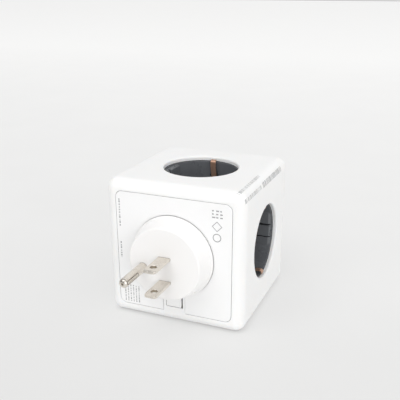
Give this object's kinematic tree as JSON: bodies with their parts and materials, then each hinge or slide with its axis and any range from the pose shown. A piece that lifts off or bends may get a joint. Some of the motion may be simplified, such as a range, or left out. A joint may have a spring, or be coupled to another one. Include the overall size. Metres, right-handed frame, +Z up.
{
  "type": "cube travel adapter",
  "caption": "Cube-shaped travel adapter: recessed round sockets on its faces and, on the front, a removable round wall plug with two flat blades and a ground pin.",
  "frame": {"origin": "centre of the plug's flat front face, which meets the wall outlet; the cube's centre is 48.5 mm behind it on +Y", "axes": "-Y out of the plug face along the prongs, +Z up with the release button below the plug, +X to the right seen from the plug side"},
  "size_m": [0.075, 0.107, 0.075],
  "materials": {
    "shell_white": "fine satin, bright white",
    "plug_white": "satin, very slightly warm white",
    "well_grey": "satin, dark slate grey",
    "shutter_grey": "satin, mid grey",
    "carrier_black": "matte, near black",
    "earth_copper": "dull copper alloy",
    "contact_brass": "stamped, satin",
    "nickel": "nickel plated, fine scratches",
    "steel": "zinc plated"
  },
  "bodies": {
    "cube": {"housing": "shell_white", "plug_face_plate": "shell_white", "carrier_front": "carrier_black", "carrier_rear": "carrier_black", "inlet_body": "carrier_black", "live_bus_bar": "contact_brass", "neutral_bus_bar": "contact_brass", "earth_bus_bar": "earth_copper", "inlet_line_pin": "nickel", "inlet_neutral_pin": "nickel", "inlet_ground_pin": "nickel", "inlet_screw_left": "steel", "inlet_screw_right": "steel", "well_top": "well_grey", "earth_clip_top": "earth_copper", "live_sleeve_top": "contact_brass", "neutral_sleeve_top": "contact_brass", "well_bottom": "well_grey", "earth_clip_bottom": "earth_copper", "live_sleeve_bottom": "contact_brass", "neutral_sleeve_bottom": "contact_brass", "well_right": "well_grey", "earth_clip_right": "earth_copper", "live_sleeve_right": "contact_brass", "neutral_sleeve_right": "contact_brass", "well_left": "well_grey", "earth_clip_left": "earth_copper", "live_sleeve_left": "contact_brass", "neutral_sleeve_left": "contact_brass", "well_rear": "well_grey", "earth_clip_rear": "earth_copper", "live_sleeve_rear": "contact_brass", "neutral_sleeve_rear": "contact_brass", "latch_spring": "steel"},
    "plug": {"plug_shell": "plug_white", "plug_cover": "plug_white", "line_blade": "nickel", "neutral_blade": "nickel", "ground_pin": "nickel", "plug_line_contact": "contact_brass", "plug_neutral_contact": "contact_brass", "plug_ground_contact": "contact_brass", "plug_screw_1": "steel", "plug_screw_2": "steel", "plug_screw_3": "steel"},
    "button": {"release_button": "shell_white"},
    "latch": {"latch_bolt": "carrier_black"},
    "shutter_top": {"shutter_top": "shutter_grey"},
    "shutter_bottom": {"shutter_bottom": "shutter_grey"},
    "shutter_right": {"shutter_right": "shutter_grey"},
    "shutter_left": {"shutter_left": "shutter_grey"},
    "shutter_rear": {"shutter_rear": "shutter_grey"}
  },
  "joints": [
    {"name": "plug_release", "type": "slide", "parent": "cube", "child": "plug", "axis": [0, -1, 0], "range_m": [0, 0.03]},
    {"name": "button_press", "type": "slide", "parent": "cube", "child": "button", "axis": [0, 1, 0], "range_m": [0, 0.002]},
    {"name": "latch_drop", "type": "slide", "parent": "cube", "child": "latch", "axis": [0, 0, -1], "range_m": [0, 0.002], "deforming": ["latch_spring"]},
    {"name": "shutter_turn_top", "type": "hinge", "parent": "cube", "child": "shutter_top", "pos_m": [0, 0.0485, 0.0375], "axis": [0, 0, 1], "range_deg": [0, 40]},
    {"name": "shutter_turn_bottom", "type": "hinge", "parent": "cube", "child": "shutter_bottom", "pos_m": [0, 0.0485, -0.0375], "axis": [0, 0, -1], "range_deg": [0, 40]},
    {"name": "shutter_turn_right", "type": "hinge", "parent": "cube", "child": "shutter_right", "pos_m": [0.0375, 0.0485, 0], "axis": [1, 0, 0], "range_deg": [0, 40]},
    {"name": "shutter_turn_left", "type": "hinge", "parent": "cube", "child": "shutter_left", "pos_m": [-0.0375, 0.0485, 0], "axis": [-1, 0, 0], "range_deg": [0, 40]},
    {"name": "shutter_turn_rear", "type": "hinge", "parent": "cube", "child": "shutter_rear", "pos_m": [0, 0.086, 0], "axis": [0, 1, 0], "range_deg": [0, 40]}
  ],
  "couplings": [
    {"joint": "latch_drop", "follows": "button_press", "ratio": 1}
  ]
}
